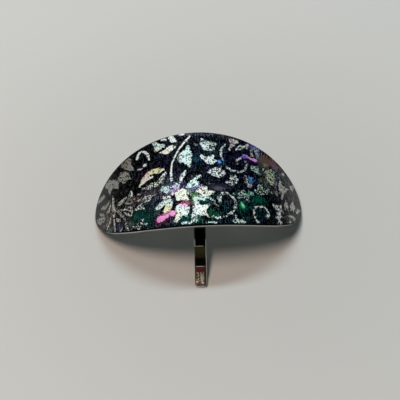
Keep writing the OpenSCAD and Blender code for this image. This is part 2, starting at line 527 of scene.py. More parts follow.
    ]),
    (MINT, 0.25, [
        (2.4, -8.7), (2, -9.4), (1.7, -10.1), (1.4, -10.9), (0.9, -10.7), (0.4, -10.1),
        (-0.1, -10.4), (-0.6, -11), (-0.4, -11.9), (-1.7, -12), (-2.1, -11), (-2.4, -9.9),
        (-2.1, -8.9), (-1.4, -8.3), (-0.7, -8.4), (0.1, -7.9), (1.2, -8),
    ]),
    (SILVER, 0.17, [
        (-0.4, -11.9), (0.3, -12.3), (1.1, -12.3), (1.7, -12), (2.9, -12), (3.1, -12.4),
        (2.7, -13.1), (2.1, -13.9), (1.9, -14.7), (1.7, -15.9), (1.3, -16.6), (0.9, -16.3),
        (0.3, -16.9), (-0.3, -16.4), (-1.1, -16.1), (-1.9, -16.4), (-2.6, -17.1), (-3.1, -17.6),
        (-3.4, -17.1), (-3.1, -16.3), (-2.7, -15.3), (-2.6, -13.9), (-2.7, -12.7), (-2.6, -12.1),
        (-1.7, -12),
    ]),
    # Scraps round the flower
    (MINT, 0.25, [
        (-4.2, -18.8), (-3.2, -18), (-2.3, -18.3), (-2.6, -19), (-3.4, -19.6), (-4.2, -19.7),
    ]),
    (MINT, 0.3, [
        (-6.9, -19), (-6, -18.5), (-5, -18.4), (-4.3, -18.8), (-4.6, -19.5), (-6.2, -19.5),
    ]),
    (MINT, 0.42, [
        (-2.7, -17.6), (-1.8, -16.9), (-1, -17.4), (-1, -18.6), (-1.8, -19.3), (-2.5, -18.9),
    ]),
    (LILAC, 0.4, [(-1.3, -4.2), (0.8, -3.5), (1.8, -4.1), (0.7, -4.8), (-0.8, -5)]),
    (MINT, 0.3, [(1.3, -19.7), (2.1, -19.3), (4, -19), (5.3, -19.4), (4.6, -19.8)]),
    # Notched leaves right of the middle
    (SILVER, 0.52, [
        (10.6, -0.4), (11.4, 1.4), (11.9, 0.3), (12.7, 1.6), (13.5, 0.3), (13.5, -1), (12.9, -2.3),
        (11.4, -3.6), (10.2, -3.2), (9.5, -2.6), (8.4, -2.5), (9.5, -1.9), (10.3, -1.4),
    ]),
    (SILVER, 0.38, [
        (3.5, 2.4), (4.5, 3.1), (5.2, 4.1), (6.6, 3.9), (7.8, 4.6), (8.2, 3.6), (8.9, 3.2),
        (9.3, 2.3), (9.1, 0.9), (8, 0), (6.6, -0.5), (4.9, 0), (4.2, 1.1), (3, 1.8),
    ]),
    (SILVER, 0.21, [
        (1.7, 17.1), (2.1, 17.4), (2.7, 16.6), (3.6, 16), (4.5, 15.6), (6.2, 15.8), (7.4, 15),
        (6.9, 14.3), (6.6, 13.9), (5.1, 14.1), (4, 13.9), (3.5, 13.5), (4.3, 13), (4.9, 12.6),
        (6, 12.6), (6.7, 12.7), (6.6, 12), (5.7, 11.7), (4.6, 11.4), (3.4, 11.4), (2.4, 12),
        (2, 12.9), (1.7, 13.9), (1.3, 14.7), (1.6, 15.9),
    ]),
    (MINT, 0.6, [(4, 13.9), (5.2, 14.1), (6.7, 13.8), (6.7, 12.8), (5.2, 12.4), (3.9, 13)]),
    (SILVER, 0.2, [
        (0.7, 8.9), (1.3, 9.7), (2, 9.4), (2.7, 8.7), (3.7, 8.9), (4.6, 9.1), (5.3, 9.7),
        (5.9, 9.7), (5.9, 8.9), (5.7, 8.1), (6, 7.3), (6.7, 7.4), (6.6, 6.7), (5.9, 6), (5.1, 5.4),
        (4, 5.4), (3.1, 5.6), (2.7, 6.3), (2.3, 7.1), (1.7, 7.7), (1.1, 8.1),
    ]),
    # Far side, right half
    (SILVER, 0.3, [
        (11.7, 17.4), (12, 17.9), (13.1, 17.9), (14, 17.6), (15.1, 17.9), (15.3, 17.4), (14.3, 17),
        (15.3, 16.9), (15.1, 16.1), (14.1, 15.9), (14, 15.1), (13.1, 14.3), (12.4, 13.6),
        (11.7, 12.4), (11.1, 12.4), (11.4, 13.4), (12, 14.3), (12.1, 15.4), (11.9, 16.4),
    ]),
    (SILVER, 0.4, [
        (13.5, 13), (14.2, 14), (15.3, 15.3), (16, 15.8), (16.3, 15.2), (17.5, 16.2), (18.7, 17),
        (19.8, 16.8), (19.3, 15.7), (18.3, 14.7), (17, 14.3), (16, 13.7), (15.2, 13.3), (14, 12.8),
    ]),
    (SILVER, 0.5, [
        (19.2, 12), (19.5, 13.3), (19.3, 14.3), (20, 15), (20.2, 16), (21, 16.7), (22, 16.8),
        (23.3, 16.5), (24, 15.8), (23.3, 15), (23.3, 13.7), (23, 12.7), (22.3, 11.5), (21.8, 11.2),
        (21.8, 12.3), (21.7, 13.3), (21.3, 14.3), (20.8, 15), (20.3, 14.5), (20.2, 13.3),
        (20.7, 12.5), (20.3, 11.5), (19.7, 11.7),
    ]),
    (LILAC, 0, [
        (16, 10.7), (16.5, 11.6), (17.5, 11.7), (18.7, 11), (20, 10.7), (21.3, 11), (21.9, 10.4),
        (21.6, 9.7), (20.4, 9.6), (19, 10.1), (17.7, 10.3), (16.7, 10), (16, 10),
    ]),
    (MINT, 0.54, [
        (18.7, 6.3), (19, 7.2), (20.2, 7.7), (21.2, 8), (22, 7.5), (22.2, 6.2), (22.2, 5.3),
        (22.8, 4.5), (22.3, 3.8), (21.3, 4.2), (20.3, 4.5), (19.3, 5),
    ]),
    (LIME, 0.44, [
        (24, 4.4), (24.2, 6), (24.8, 7), (25.8, 7.8), (27, 8.6), (28, 8.9), (28.8, 8.3), (29, 7),
        (29, 5.7), (29, 4.2), (28.7, 3), (28, 2.5), (27.7, 1.7), (26.7, 1.3), (26, 2), (25.5, 2.8),
        (24.7, 3.3),
    ]),
    (PEWTER, 0.5, [(24.4, 10.3), (25.4, 10.6), (26.6, 10.4), (26.4, 9), (25.6, 7.8), (24.6, 8.4)]),
    (PEWTER, 0.3, [(28, 3.4), (28.8, 4.4), (29.6, 3.2), (29, 1.9), (28.2, 2.2)]),
    # Near side, right half
    (SKY, 0.4, [
        (17.2, 0), (17.5, 1.2), (17.4, 2.3), (18.2, 1.9), (18.7, 2), (19.8, 1.8), (20, 0.8),
        (19.7, -0.3), (18.7, -0.8), (17.5, -0.7),
    ]),
    (SILVER, 0.5, [
        (15.9, 2), (16.6, 2.2), (17, 0.6), (17.6, -0.6), (18.4, -0.9), (18.7, -1.8), (18, -2.9),
        (16.9, -3), (16.2, -2), (15.9, -0.4),
    ]),
    (MINT, 0.58, [
        (13, -5.7), (14, -4.8), (15.3, -4.5), (16, -5.2), (16.3, -6.7), (17, -7.8), (17.2, -8.7),
        (16.5, -9.5), (16, -9.5), (15.7, -8.7), (14.7, -8.5), (13.7, -8.8), (12.5, -8.5),
        (12.8, -7.8), (13.8, -7.5), (13, -6.8), (12.7, -6),
    ]),
    (MINT, 0.5, [(17, -4.6), (18, -4.4), (18.8, -5.2), (19, -6), (18.2, -6.2), (17.2, -6)]),
    (MINT, 0.56, [
        (19.3, -4.2), (20.4, -3.2), (20.5, -1.9), (21.3, -0.5), (22.4, -0.1), (23.9, 0.3),
        (25, -0.7), (26.1, -1.6), (27.3, -2.8), (27, -3.3), (25.6, -3.2), (24.6, -3.6),
        (22.8, -4.6), (21.4, -4.9), (20, -4.8),
    ]),
    (SILVER, 0.36, [
        (26.3, -7.7), (26.5, -7), (27.7, -7), (28.7, -6.7), (29.7, -6.2), (30.2, -5.5),
        (30.5, -6.5), (30, -7.3), (30.8, -8.3), (30.8, -9.3), (30, -8.7), (29.3, -9.3),
        (29.7, -10.7), (30, -11.3), (28.8, -12), (29.3, -13), (29.5, -14), (28.7, -15), (28, -14.8),
        (27.3, -15.5), (27, -14.8), (27.5, -14), (28, -13.5), (27, -13), (26.7, -12.5),
        (27.7, -11.3), (27.3, -10.5), (27.8, -9.7), (27.2, -9), (26.5, -8.3),
    ]),
    (MINT, 0.4, [
        (11, -15.9), (11.7, -15.7), (11.9, -16.4), (11.4, -17.4), (12.1, -17.3), (12.4, -18.1),
        (13.3, -17.4), (13.9, -16.4), (13.7, -17.4), (14.4, -18.1), (14.9, -18.6), (12.9, -19.4),
        (11.1, -19.5), (10.3, -19), (10.1, -18.1), (11, -17.6), (11.1, -16.7),
    ]),
    # Sprays of leaves at the right end, in greyer foil
    (ASH, 0.2, [(32.7, 8.7), (33.3, 10), (34, 10.5), (34.3, 9.5), (33.3, 8.3)]),
    (ASH, 0.14, [
        (36.4, 4.3), (36.4, 5.7), (37.6, 6.8), (38.9, 7.4), (39.3, 6.8), (38.7, 5.2), (37.6, 4.1),
    ]),
    (ASH, 0.2, [
        (30.2, -0.5), (30.2, 1.7), (30.2, 3), (30.9, 4.8), (31.5, 6.1), (32, 6.1), (31.8, 4.3),
        (32.4, 3.4), (33.5, 3.7), (35, 3.9), (35.6, 3.9), (34.4, 2.3), (33.5, 1.2), (32.7, 0.3),
        (32, -1), (31.3, -2.8), (30.9, -3.4), (30.7, -2.8), (31.1, -1.4), (31.6, 0.2), (31.2, 0.7),
        (30.7, -0.3),
    ]),
    (PEWTER, 0.3, [
        (28.2, -0.6), (29.1, -0.3), (29.8, -0.6), (29.3, -1.9), (28.9, -3.4), (28.4, -2.6),
        (28, -1.4),
    ]),
    (ASH, 0.2, [
        (32.9, -2.6), (33.3, -2.6), (33.8, -3.9), (33.8, -5.9), (33.6, -7.2), (33.1, -6.3),
        (32.7, -5.9), (32, -7.2), (31.6, -7), (31.8, -5), (32.4, -3.4),
    ]),
    (ASH, 0.14, [
        (36.9, -0.8), (37.6, -0.6), (37.1, -1.9), (38.2, -2.1), (38, -3.4), (37.1, -4.6),
        (36.9, -5.9), (36, -5), (35.3, -5.9), (34.7, -5.9), (34.7, -4.3), (35.6, -2.8),
    ]),
    (ASH, 0.14, [
        (38.2, -3.9), (39.3, -2.8), (41.1, -1.9), (41.6, -2.3), (40.2, -4.1), (39.3, -5),
        (38.4, -5.7), (38, -4.8),
    ]),
    (ASH, 0.14, [
        (32.9, -9.4), (34.2, -8.3), (36, -7.9), (37.6, -7.9), (36.9, -9), (35.6, -9.9), (35.3, -9),
        (33.3, -9.7),
    ]),
    (ASH, 0.14, [(33.1, -11.9), (33.8, -11), (34.4, -10.6), (34.2, -11.7), (33.6, -12.3)]),
]
# Stems, tendrils and dots: foil, wear, and places along the middle with the width at each, in mm.
stems = [
    # The long stem, and the curl left of it
    (SILVER, 0.05, [
        (-1.9, 18.3, 0.7), (-3.3, 16.6, 0.9), (-4.2, 15.4, 0.8), (-5.1, 14, 0.7), (-6, 12.9, 0.6),
        (-7.2, 10.6, 0.6), (-8.2, 8, 0.6), (-8.8, 5.7, 0.7), (-9.1, 2.9, 0.8), (-9, -0.5, 0.9),
    ]),
    (SILVER, 0.15, [
        (-21.3, 13.4, 1.2), (-21.1, 14.6, 1), (-20.5, 15.6, 0.9), (-19.6, 16, 0.9),
        (-18.7, 15.6, 1), (-17.8, 14.7, 1), (-17.2, 13.6, 1), (-16.9, 12.4, 0.9),
        (-16.8, 11.2, 0.8),
    ]),
    (SILVER, 0.2, [(-18.6, 9.1, 1.4), (-18.2, 9.3, 1.4)]),
    (SILVER, 0.3, [(-21.1, 8.5, 0.5), (-19.8, 8, 0.7)]),
    # Twigs and the edges of leaves at the left end
    (ASH, 0.35, [(-32.2, 2.4, 0.7), (-32.1, 0, 1.1), (-32, -2.4, 1.2)]),
    (ASH, 0.48, [
        (-31.5, -3.5, 0.9), (-30.1, -5.1, 1.1), (-28.7, -7.1, 1), (-27.6, -9.1, 0.9),
        (-26.7, -11.4, 0.8), (-26.3, -13.2, 0.7), (-26.1, -14.8, 0.6),
    ]),
    (ASH, 0.3, [(-32, -2.6, 1.3), (-31.7, -4.5, 1.7), (-31.8, -6.4, 1.2)]),
    (ASH, 0.1, [(-31.8, -6.2, 0.8), (-31.6, -8.8, 0.6), (-31.4, -11, 0.6), (-31.2, -13.6, 0.7)]),
    (ASH, 0.05, [(-33.1, -6.1, 0.5), (-33.9, -8.1, 0.5), (-35, -10.2, 0.6)]),
    (ASH, 0.2, [(-28, -13.4, 0.5), (-28.5, -14.6, 0.6)]),
    (PEWTER, 0.2, [(-24.7, -0.1, 0.3), (-25.2, -1.8, 0.4), (-26, -3.8, 0.4)]),
    (PEWTER, 0.2, [(-24.6, -0.6, 0.3), (-24.3, -2.3, 0.4), (-23.8, -4.5, 0.4)]),
    (PEWTER, 0.1, [(-26.2, -4.1, 0.5), (-25, -4.8, 0.5), (-23.7, -4.9, 0.5)]),
    (ROSE, 0.3, [(-21, -2.6, 0.5), (-22.1, -3.3, 0.6), (-23, -3.8, 0.5)]),
    (ROSE, 0.1, [(-20.5, -2.8, 0.5), (-21, -3.6, 0.6), (-21.4, -4.3, 0.4)]),
    (ROSE, 0.3, [(-19.9, -4.5, 0.5), (-20.5, -4.9, 0.6), (-21.2, -5.3, 0.5)]),
    (SILVER, 0.3, [(-20.2, -4.3, 0.4), (-18.5, -4.5, 0.5), (-16.8, -4.8, 0.5), (-15, -5.2, 0.4)]),
    (SILVER, 0.3, [
        (-22.8, -8.4, 0.4), (-21.5, -7.7, 0.5), (-20.2, -7.3, 0.5), (-18.5, -6.7, 0.5),
        (-16.9, -5.8, 0.5), (-15, -5.2, 0.4),
    ]),
    (SILVER, 0.3, [(-20.4, -8.1, 0.4), (-19, -7.8, 0.5), (-17.7, -7.1, 0.5), (-16.9, -6.3, 0.4)]),
    (SILVER, 0.3, [(-22.9, -8.7, 0.5), (-21.5, -8.8, 0.5), (-20.3, -9.1, 0.5)]),
    (SILVER, 0, [(-19.8, -8.7, 0.5), (-19.3, -9.3, 0.7)]),
    (ASH, 0.1, [
        (-27.2, -7.4, 0.4), (-25.8, -9, 0.5), (-24.1, -10.4, 0.7), (-23.9, -9.2, 0.6),
        (-23.8, -8, 0.5),
    ]),
    (ASH, 0.1, [(-25.7, -7.4, 0.4), (-25.4, -6.6, 0.5), (-24.5, -6.4, 0.5), (-23.9, -7.3, 0.5)]),
    (SILVER, 0.4, [(-26.4, -12.2, 0.7), (-26.1, -14, 0.6), (-25.5, -15.5, 0.6)]),
    (SILVER, 0, [(-23.9, 0, 0.6), (-23.8, -0.8, 0.7), (-23.9, -2.1, 0.6)]),
    (PEWTER, 0.14, [(-26.5, -3.6, 0.3), (-24.5, -5, 0.5)]),
    (SILVER, 0, [(-27.1, -6.2, 0.6), (-26.9, -6.6, 0.6)]),
    (PEWTER, 0.14, [(-28.5, -5.5, 0.5), (-27.8, -6.2, 0.5)]),
    # Dots along both rims
    (SILVER, 0.1, [(-18.7, -16, 0.8), (-18.4, -16.1, 0.8)]),
    (PEWTER, 0.3, [(-18.3, -18.2, 0.7), (-18, -18.4, 0.7)]),
    (SILVER, 0, [(-5.2, 19.3, 0.9), (-4, 19.4, 0.9)]),
    # Curled tendrils and dots of the right half
    (PEWTER, 0.5, [(-0.3, 14.5, 1), (0.3, 14.1, 0.8)]),
    (SILVER, 0.3, [
        (10.1, 14.6, 0.7), (9.1, 13.3, 0.7), (8.5, 12.1, 0.8), (8.3, 10.8, 0.8), (8.3, 9.3, 0.7),
        (8.8, 7.6, 0.6),
    ]),
    (SKY, 0, [(7.5, 6.7, 1.2), (7.7, 6.4, 1.2)]),
    (SILVER, 0.48, [
        (9.7, 4.7, 0.8), (10.3, 4.1, 0.9), (11.1, 3.6, 1), (12.1, 3.1, 1), (13.1, 3, 1),
        (14.6, 3.1, 0.8), (15.8, 3.8, 0.8), (16.6, 4.7, 0.9), (17.3, 6, 0.9), (17.5, 7.3, 0.8),
        (17.2, 8.3, 0.9),
    ]),
    (SILVER, 0.5, [(14.2, 8.8, 1), (15.4, 9.5, 1)]),
    (SILVER, 0.5, [(13.6, 8.2, 1.1), (13.7, 6.8, 1.1)]),
    (SILVER, 0.2, [(24.1, 7.5, 0.6), (23.9, 6.8, 0.6)]),
    (SILVER, 0, [(19.7, -3.6, 0.7), (19.7, -3.7, 0.7)]),
    (SILVER, 0.52, [
        (10, -7.3, 0.8), (9, -6.8, 1), (8, -7.1, 1.1), (7.1, -7.8, 1.3), (6.4, -8.9, 1.4),
        (6.3, -9.8, 1.3), (6.5, -10.8, 1.1),
    ]),
    (SILVER, 0.52, [
        (10.5, -7.9, 0.9), (11.2, -8.6, 1.2), (11.7, -9.6, 1.2), (11.9, -11.2, 1), (11.5, -13, 1),
        (10.4, -14.7, 1), (9, -16.1, 1), (7.2, -17.2, 1), (5.4, -17.7, 1), (3.8, -17, 0.9),
    ]),
    (MINT, 0.3, [(4.6, -17.5, 0.8), (5.5, -17.8, 0.8)]),
    (MINT, 0.4, [(2.1, -9.1, 0.6), (3.1, -9.4, 0.9), (4, -10.1, 0.8), (4.6, -10.6, 0.5)]),
    (PEWTER, 0.6, [(4.4, -11.1, 0.7), (5.2, -12, 0.8), (6, -12.9, 0.5)]),
    (LIME, 0.2, [(1.4, -15.6, 0.6), (2, -16.6, 0.8), (2.5, -17.3, 0.5)]),
    (SILVER, 0.3, [
        (19.8, -10.3, 0.6), (19.3, -10.7, 0.8), (18.7, -11.3, 0.8), (18.3, -12.3, 0.8),
        (18.2, -13.3, 0.8), (18.1, -14.3, 0.7), (18.3, -15.5, 0.7), (18.7, -16.3, 0.7),
        (19.2, -17.2, 1),
    ]),
    (SILVER, 0.3, [
        (20.7, -10.5, 0.7), (21.3, -10.1, 0.8), (22.2, -10, 0.9), (23, -10.5, 1), (23.7, -11.2, 1),
        (24, -12, 0.9), (23.8, -13, 0.9), (23.4, -13.5, 1), (23.1, -14, 1),
    ]),
    (MINT, 0.5, [(11.6, -6.7, 0.6), (12, -6.9, 0.6)]),
    (PEWTER, 0.5, [(4, -3.1, 0.6), (4.3, -3.2, 0.5)]),
]
# Tones of the dyed grain, partly painted sheen; of painted sheen, glints and reflections laid
# smooth over the grain; and of the foil, partly painted glints: centre and half sizes of a soft
# oval in mm, its turn in degrees, the share that it takes, and its colour.
dye_and_sheen_tones = [
    (-30, 4, 10, 18, 0, 0.9, (17, 20, 18)),
    (-15, 10, 5, 7, 0, 0.8, (8, 8, 10)),
    (-21, 3, 4, 4, 0, 0.7, (10, 13, 11)),
    (-10, 8, 3.5, 5, 0, 0.8, (6, 6, 16)),
    (-12, 6, 2.4, 3, 0, 0.4, (22, 18, 42)),
    (-17.6, 5.6, 2.6, 1.4, 25, 0.7, (48, 18, 34)),
    (2, 12, 14, 9, 0, 0.8, (9, 24, 42)),
    (-6, 14, 4.5, 9, 0, 0.75, (8, 9, 15)),
    (5, 17.5, 13, 3, 0, 0.6, (11, 21, 33)),
    (14, 4, 10, 10, 0, 0.75, (5, 13, 31)),
    (6, -11, 14, 8, 0, 0.8, (6, 34, 38)),
    (-12, -9, 6, 6, 0, 0.5, (30, 26, 50)),
    (13, -15, 5, 4, 0, 0.5, (6, 36, 36)),
    (5.5, 12, 4, 3.4, 0, 0.6, (8, 46, 50)),
    (12.5, 9, 5, 3, 0, 0.5, (12, 13, 38)),
    (-19, 7.5, 2.4, 2, 0, 0.4, (34, 20, 56)),
    (18, -10, 5, 5.5, 0, 0.6, (4, 38, 42)),
    (23, -10, 3.6, 6, 0, 0.6, (5, 20, 25)),
    (28, 5, 5, 8, 0, 0.75, (36, 41, 43)),
    (37, 0, 5, 12, 0, 0.8, (34, 36, 36)),
]
painted_sheen_tones = [
    (3, 19.4, 8, 1.1, 0, 0.8, (78, 92, 104)),
    (11.4, 18, 2.6, 1, -20, 0.8, (86, 84, 92)),
    (-22, -11.5, 3.6, 3.8, 0, 0.85, (22, 70, 60)),
    (-24.6, -14.2, 2, 1.8, 0, 0.8, (92, 96, 98)),
    (-14.6, -12.8, 1.2, 1.2, 0, 0.8, (104, 112, 108)),
    (-1.5, -18, 2, 1.5, 0, 0.9, (50, 116, 92)),
    (4.6, -16.3, 1.6, 1.3, 0, 0.85, (40, 122, 98)),
    (-17.5, -13.2, 3.8, 4.4, 0, 0.85, (20, 66, 62)),
    (-16, -8, 3, 3, 0, 0.7, (54, 66, 80)),
    (-16, -3.7, 6, 2.6, 8, 0.85, (80, 78, 88)),
    (-10, -0.8, 3.2, 1.5, 0, 0.8, (78, 84, 98)),
    (-11.6, -5.8, 2.2, 1.8, 0, 0.8, (88, 84, 104)),
    (-24, -5, 4, 2.4, 0, 0.7, (74, 72, 68)),
    (-33.5, -4.4, 3, 4, 0, 0.6, (92, 90, 82)),
    (-5.5, -17.8, 3.6, 1.8, 0, 0.85, (20, 92, 86)),
    (2.9, -15.5, 0.8, 2.4, 0, 0.85, (20, 92, 62)),
    (1.2, -10.9, 1.8, 1.2, 0, 0.85, (44, 100, 72)),
    (6.2, -4.2, 4.2, 1.8, 0, 0.95, (44, 42, 64)),
    (6.6, -5.2, 2, 0.9, 0, 0.9, (92, 94, 104)),
    (13.6, -12, 2.6, 2.6, 0, 0.8, (5, 44, 42)),
    (20.3, -7.5, 2.8, 2, 0, 1, (6, 76, 62)),
    (14.2, -11.7, 1.2, 1.5, 20, 0.95, (0, 124, 84)),
    (14.3, -11.3, 0.5, 1.1, 20, 1, (150, 244, 196)),
    (16.9, -6.2, 1.8, 0.6, 15, 0.85, (70, 168, 132)),
    (-0.3, 8, 1.6, 2, 0, 0.9, (20, 70, 84)),
    (7.8, 6.2, 1.5, 1.3, 0, 0.9, (26, 74, 104)),
    (-4.2, -10.7, 1.1, 1.2, 20, 0.97, (164, 104, 128)),
    (-2.9, -11.4, 0.7, 1.4, 20, 0.95, (100, 62, 80)),
    (-5.4, -9.8, 2, 0.6, 0, 0.97, (132, 70, 94)),
    (-5.6, -11.2, 1.1, 0.7, 0, 0.9, (236, 110, 170)),
    (-11.6, -15.3, 3.5, 1.6, 14, 0.9, (128, 46, 100)),
    (-11.9, -14.1, 1.4, 1, 14, 0.9, (236, 120, 186)),
    (-11, -17.6, 3.4, 1, 10, 0.7, (58, 50, 76)),
    (-1.8, -8.6, 1.3, 2.5, 0, 0.95, (122, 176, 132)),
    (-1.3, -9.9, 0.7, 1.3, 0, 0.95, (196, 246, 180)),
    (-2.6, -5.7, 1.6, 0.5, 0, 0.95, (84, 80, 160)),
    (-0.2, -4.8, 1.2, 0.4, 10, 0.95, (112, 112, 214)),
    (-5.4, -2.8, 1.4, 1.6, 0, 0.8, (72, 66, 118)),
    (-3.2, -4.6, 3, 1.4, 0, 0.8, (112, 126, 150)),
    (-9, -2.2, 3.6, 0.8, 0, 0.7, (84, 122, 146)),
    (-7.8, -4, 1.5, 1.4, 0, 0.95, (176, 136, 212)),
    (24, 11.2, 3, 3, 30, 0.95, (90, 88, 72)),
    (27, 12.4, 4, 3, 30, 0.9, (100, 76, 66)),
    (29.5, 11.2, 2.6, 2.2, 20, 0.9, (116, 86, 100)),
    (21.5, 16.4, 3, 1.2, -10, 0.9, (84, 82, 160)),
    (19, 10.2, 3.6, 1.6, 0, 0.7, (64, 36, 110)),
    (34, 7, 3, 2.6, 0, 0.7, (74, 84, 82)),
    (30, 8, 1.6, 3, 0, 0.7, (98, 104, 120)),
    (22.2, 5.4, 1.6, 1.8, 0, 0.75, (36, 76, 74)),
    (24, 2, 2.6, 1.8, 0, 0.8, (84, 88, 82)),
    (20.3, 0.7, 1.1, 1.6, 0, 0.85, (26, 46, 92)),
    (34.5, 0.8, 4, 1.6, 35, 0.4, (84, 78, 88)),
    (-29.2, -12.4, 1.6, 1.6, 0, 0.9, (64, 68, 104)),
    (-33.3, -11.2, 1.5, 1.5, 0, 0.9, (74, 90, 92)),
    (-27, -10.5, 2.4, 2, 0, 0.7, (66, 70, 74)),
    (-36, -6.8, 3.4, 2, -35, 0.6, (104, 98, 94)),
    (34, -10.5, 3, 2.2, 30, 0.6, (88, 92, 86)),
    (-6, 8.8, 0.9, 1.8, 0, 0.7, (112, 130, 132)),
    (-1.3, -15.5, 0.9, 1.2, 0, 0.85, (160, 182, 160)),
    (1.1, -6.9, 1, 0.8, 0, 0.85, (176, 188, 166)),
    (-8.2, -14.5, 0.8, 1.2, 0, 0.85, (206, 160, 186)),
    (-3.8, -6.4, 0.7, 1.1, 0, 0.85, (160, 168, 156)),
    (-12.7, 0.8, 1.2, 1, 0, 0.9, (100, 104, 112)),
    (-19.5, -5.8, 1.8, 1.4, 0, 0.85, (104, 104, 104)),
    (-7, 15.4, 1.6, 1.4, 0, 0.6, (84, 92, 104)),
    (22.3, 14, 1.4, 1.8, 0, 0.8, (84, 104, 150)),
    (-3, 16, 1.2, 1, 0, 0.7, (60, 66, 78)),
    (-8.8, -5.2, 1.4, 1.1, 0, 0.95, (196, 160, 214)),
    (-7.5, 0.8, 1.3, 1.5, 0, 0.7, (58, 66, 82)),
    (28.8, 3.4, 1.8, 2.2, 0, 0.9, (98, 104, 122)),
    (11, -10.1, 1.5, 1.4, 0, 0.7, (62, 56, 70)),
    (32.7, 10.6, 1.8, 1.4, 0, 0.7, (104, 102, 98)),
    (24.3, -0.2, 1.6, 1.2, 0, 0.7, (52, 74, 66)),
    (-1.3, -0.2, 1.2, 1, 0, 0.6, (80, 88, 96)),
    (-5, -20.2, 2.4, 0.8, 0, 0.8, (70, 110, 104)),
]
foil_and_glint_tones = [
    (-9, 17, 6, 3, 0, 0.8, (255, 255, 255)),
    (5.2, 15, 2, 1, 0, 0.6, (150, 196, 174)),
    (-26.2, 13.4, 2.6, 2.2, 0, 0.8, (122, 110, 96)),
    (-8.3, -4, 1.8, 1.6, 0, 0.7, (226, 190, 255)),
    (-5.4, -11.4, 1.4, 1.1, 0, 0.75, PINK),
    (-1.7, -10, 0.9, 2, 0, 0.7, LIME),
    (-13, 16.4, 2, 1.2, 0, 0.5, (196, 244, 232)),
    (-14.4, 14.4, 1.2, 1, 0, 0.7, (255, 242, 196)),
    (-14.5, 5.2, 2.4, 0.9, 5, 0.8, (252, 244, 150)),
    (-18.4, 3.6, 1.6, 1.6, 0, 0.7, (255, 206, 200)),
    (-14, 0.2, 1.6, 0.8, 10, 0.8, (244, 240, 170)),
    (-21.6, -3.6, 1.4, 1, 0, 0.7, (150, 96, 84)),
    (-5.2, 9, 1, 3, 0, 0.5, (240, 248, 246)),
    (-11, -12, 1.2, 1.6, 0, 0.6, (255, 226, 150)),
    (22, 16.2, 2.4, 1, 0, 0.8, (136, 140, 226)),
    (13, 15.8, 0.7, 1.1, 0, 0.9, (200, 110, 130)),
    (20.6, 10, 1.9, 0.9, 0, 1, (246, 150, 250)),
    (23.4, -2.6, 4, 2.4, 0, 0.6, (168, 196, 186)),
    (17, 10.6, 1.6, 1, 0, 0.95, (96, 66, 200)),
    (-12.6, -4, 1.5, 1.4, 0, 0.7, (188, 204, 222)),
    (-7.4, -16, 1.6, 2.4, 0, 0.6, (255, 242, 218)),
    (1.6, -14.4, 2.6, 2.4, 0, 0.6, (255, 248, 230)),
    (0.5, -4.6, 1, 0.8, 0, 0.6, LILAC),
    (20.4, 13.6, 0.9, 1.4, 0, 0.6, LIME),
    (23, 14, 1.2, 2, 0, 0.8, (170, 200, 255)),
    (18.3, -5, 2, 1.2, 0, 0.7, (140, 236, 208)),
]


# The share of each side of an outline that is cut off at each of its ends
corner_cut = 0.14
# The share of a stem's drawn width that the foil covers on each side of its middle
stem_half = 0.45


def cut_corners(outline, closed):
    """The outline with each corner cut once, so that a leaf's edge curves."""
    ends = outline[1:] + outline[:1] if closed else outline[1:]
    soft = []
    for start, end in zip(outline, ends):
        start = np.array(start, float)
        side = np.array(end, float) - start
        soft += [start + side * corner_cut, start + side * (1 - corner_cut)]
    if not closed:
        soft = [np.array(outline[0], float), *soft[1:-1], np.array(outline[-1], float)]
    return soft


def leaf_depth(outline, points):
    """How far each point lies inside a closed outline, or outside it as a negative number."""
    nearest = np.full(len(points), np.inf)
    inside = np.zeros(len(points), bool)
    corners = cut_corners(outline, True)
    for start, end in zip(corners, corners[1:] + corners[:1]):
        edge = end - start
        share = np.clip((points - start) @ edge / (edge @ edge), 0, 1)
        gap = points - start - share[:, None] * edge
        nearest = np.minimum(nearest, np.hypot(gap[:, 0], gap[:, 1]))
        spans = (start[1] > points[:, 1]) != (end[1] > points[:, 1])
        if edge[1] != 0:
            crossing = start[0] + (points[:, 1] - start[1]) * edge[0] / edge[1]
            inside ^= spans & (points[:, 0] < crossing)
    return np.where(inside, nearest, -nearest)


def stem_depth(middle, points):
    """How far each point lies inside a stroke with a width at each of its places."""
    deepest = np.full(len(points), -np.inf)
    places = cut_corners(middle, False) if len(middle) > 2 else [np.array(p, float) for p in middle]
    for start, end in zip(places, places[1:]):
        edge = (end - start)[:2]
        share = np.clip((points - start[:2]) @ edge / (edge @ edge), 0, 1)
        gap = points - start[:2] - share[:, None] * edge
        width = start[2] + share * (end[2] - start[2])
        deepest = np.maximum(deepest, width * stem_half - np.hypot(gap[:, 0], gap[:, 1]))
    return deepest


def tone(points, colours, patches):
    """The colours at these points, with soft ovals of other colours laid over them in turn."""
    for u, v, half_u, half_v, turn, share, colour in patches:
        cosine = math.cos(math.radians(turn))
        sine = math.sin(math.radians(turn))
        away = points - (u, v)
        along = (away[:, 0] * cosine + away[:, 1] * sine) / half_u
        across = (away[:, 1] * cosine - away[:, 0] * sine) / half_v
        # Full in the middle, and about a third of that at the half sizes.
        part = share * np.exp(-((along**2 + across**2) ** 1.5))
        colours += part[:, None] * (np.array(paint(*colour)) - colours)
    return colours


